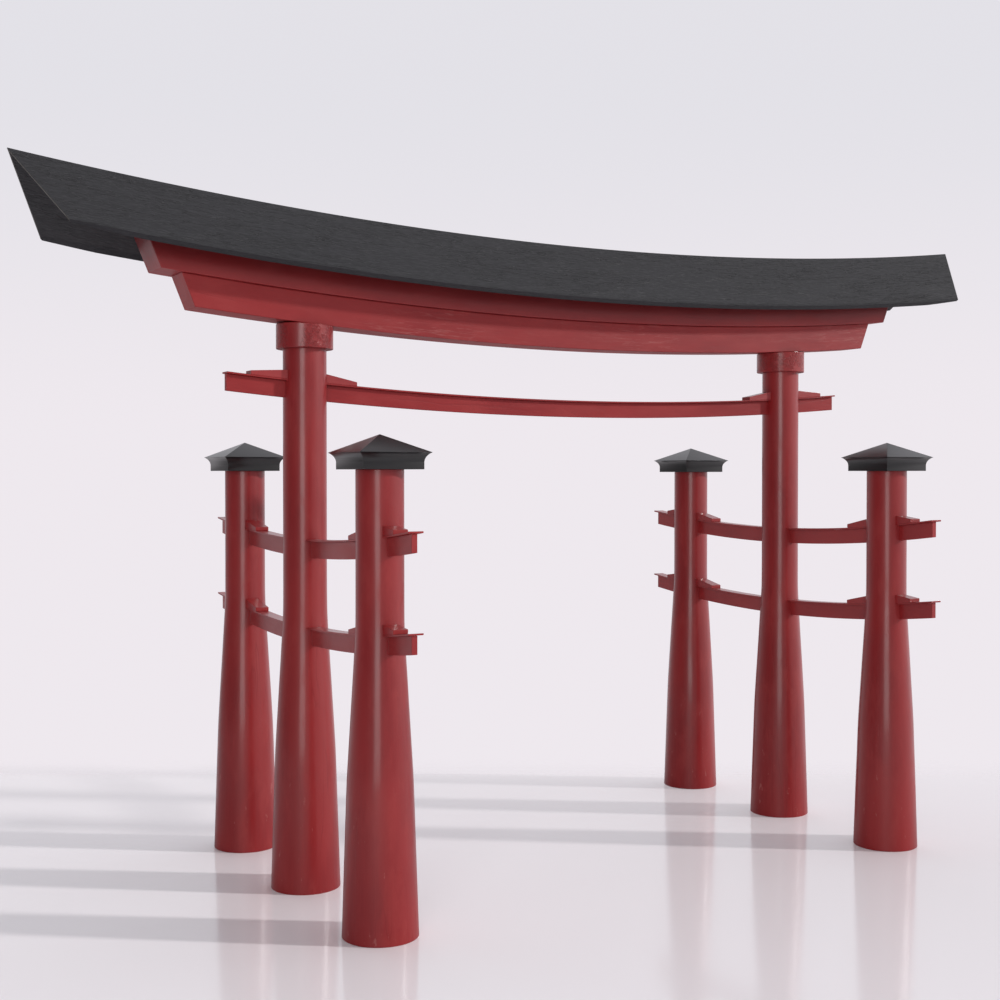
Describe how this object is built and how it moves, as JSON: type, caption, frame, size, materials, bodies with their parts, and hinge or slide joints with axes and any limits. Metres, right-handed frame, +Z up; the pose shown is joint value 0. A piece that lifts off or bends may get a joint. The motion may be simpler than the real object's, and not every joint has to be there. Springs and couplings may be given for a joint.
{
  "type": "torii gate",
  "caption": "Shrine gate with a curved double lintel under a black gabled roof, flared round posts, and side posts with pyramid caps tied by sagging beams.",
  "frame": {"origin": "on the ground, midway between the two main posts", "axes": "+X along the lintel to the right, -Y to the front, +Z up"},
  "size_m": [8.71, 3.636, 5.1629],
  "materials": {
    "red_lacquer": "satin vermilion-red lacquer on planed timber",
    "black_roof": "charcoal-black stained timber with fine lengthwise grain, satin",
    "black_cap": "charcoal-black painted timber, satin"
  },
  "bodies": {
    "root": {"lower_lintel": "red_lacquer", "upper_lintel": "red_lacquer", "roof_board_front": "black_roof", "roof_board_rear": "black_roof", "tie_beam": "red_lacquer", "tie_beam_cover": "red_lacquer", "tie_wedge_left_outer": "red_lacquer", "tie_wedge_left_inner": "red_lacquer", "tie_wedge_right_outer": "red_lacquer", "tie_wedge_right_inner": "red_lacquer", "side_beam_left_upper": "red_lacquer", "side_beam_cover_left_upper": "red_lacquer", "side_wedges_left_front_upper": "red_lacquer", "side_wedges_left_rear_upper": "red_lacquer", "side_beam_left_lower": "red_lacquer", "side_beam_cover_left_lower": "red_lacquer", "side_wedges_left_front_lower": "red_lacquer", "side_wedges_left_rear_lower": "red_lacquer", "side_beam_right_upper": "red_lacquer", "side_beam_cover_right_upper": "red_lacquer", "side_wedges_right_front_upper": "red_lacquer", "side_wedges_right_rear_upper": "red_lacquer", "side_beam_right_lower": "red_lacquer", "side_beam_cover_right_lower": "red_lacquer", "side_wedges_right_front_lower": "red_lacquer", "side_wedges_right_rear_lower": "red_lacquer", "main_post_left": "red_lacquer", "collar_left": "red_lacquer", "side_post_left_front": "red_lacquer", "cap_moulding_left_front": "black_cap", "cap_pyramid_left_front": "black_cap", "side_post_left_rear": "red_lacquer", "cap_moulding_left_rear": "black_cap", "cap_pyramid_left_rear": "black_cap", "main_post_right": "red_lacquer", "collar_right": "red_lacquer", "side_post_right_front": "red_lacquer", "cap_moulding_right_front": "black_cap", "cap_pyramid_right_front": "black_cap", "side_post_right_rear": "red_lacquer", "cap_moulding_right_rear": "black_cap", "cap_pyramid_right_rear": "black_cap"}
  },
  "joints": []
}
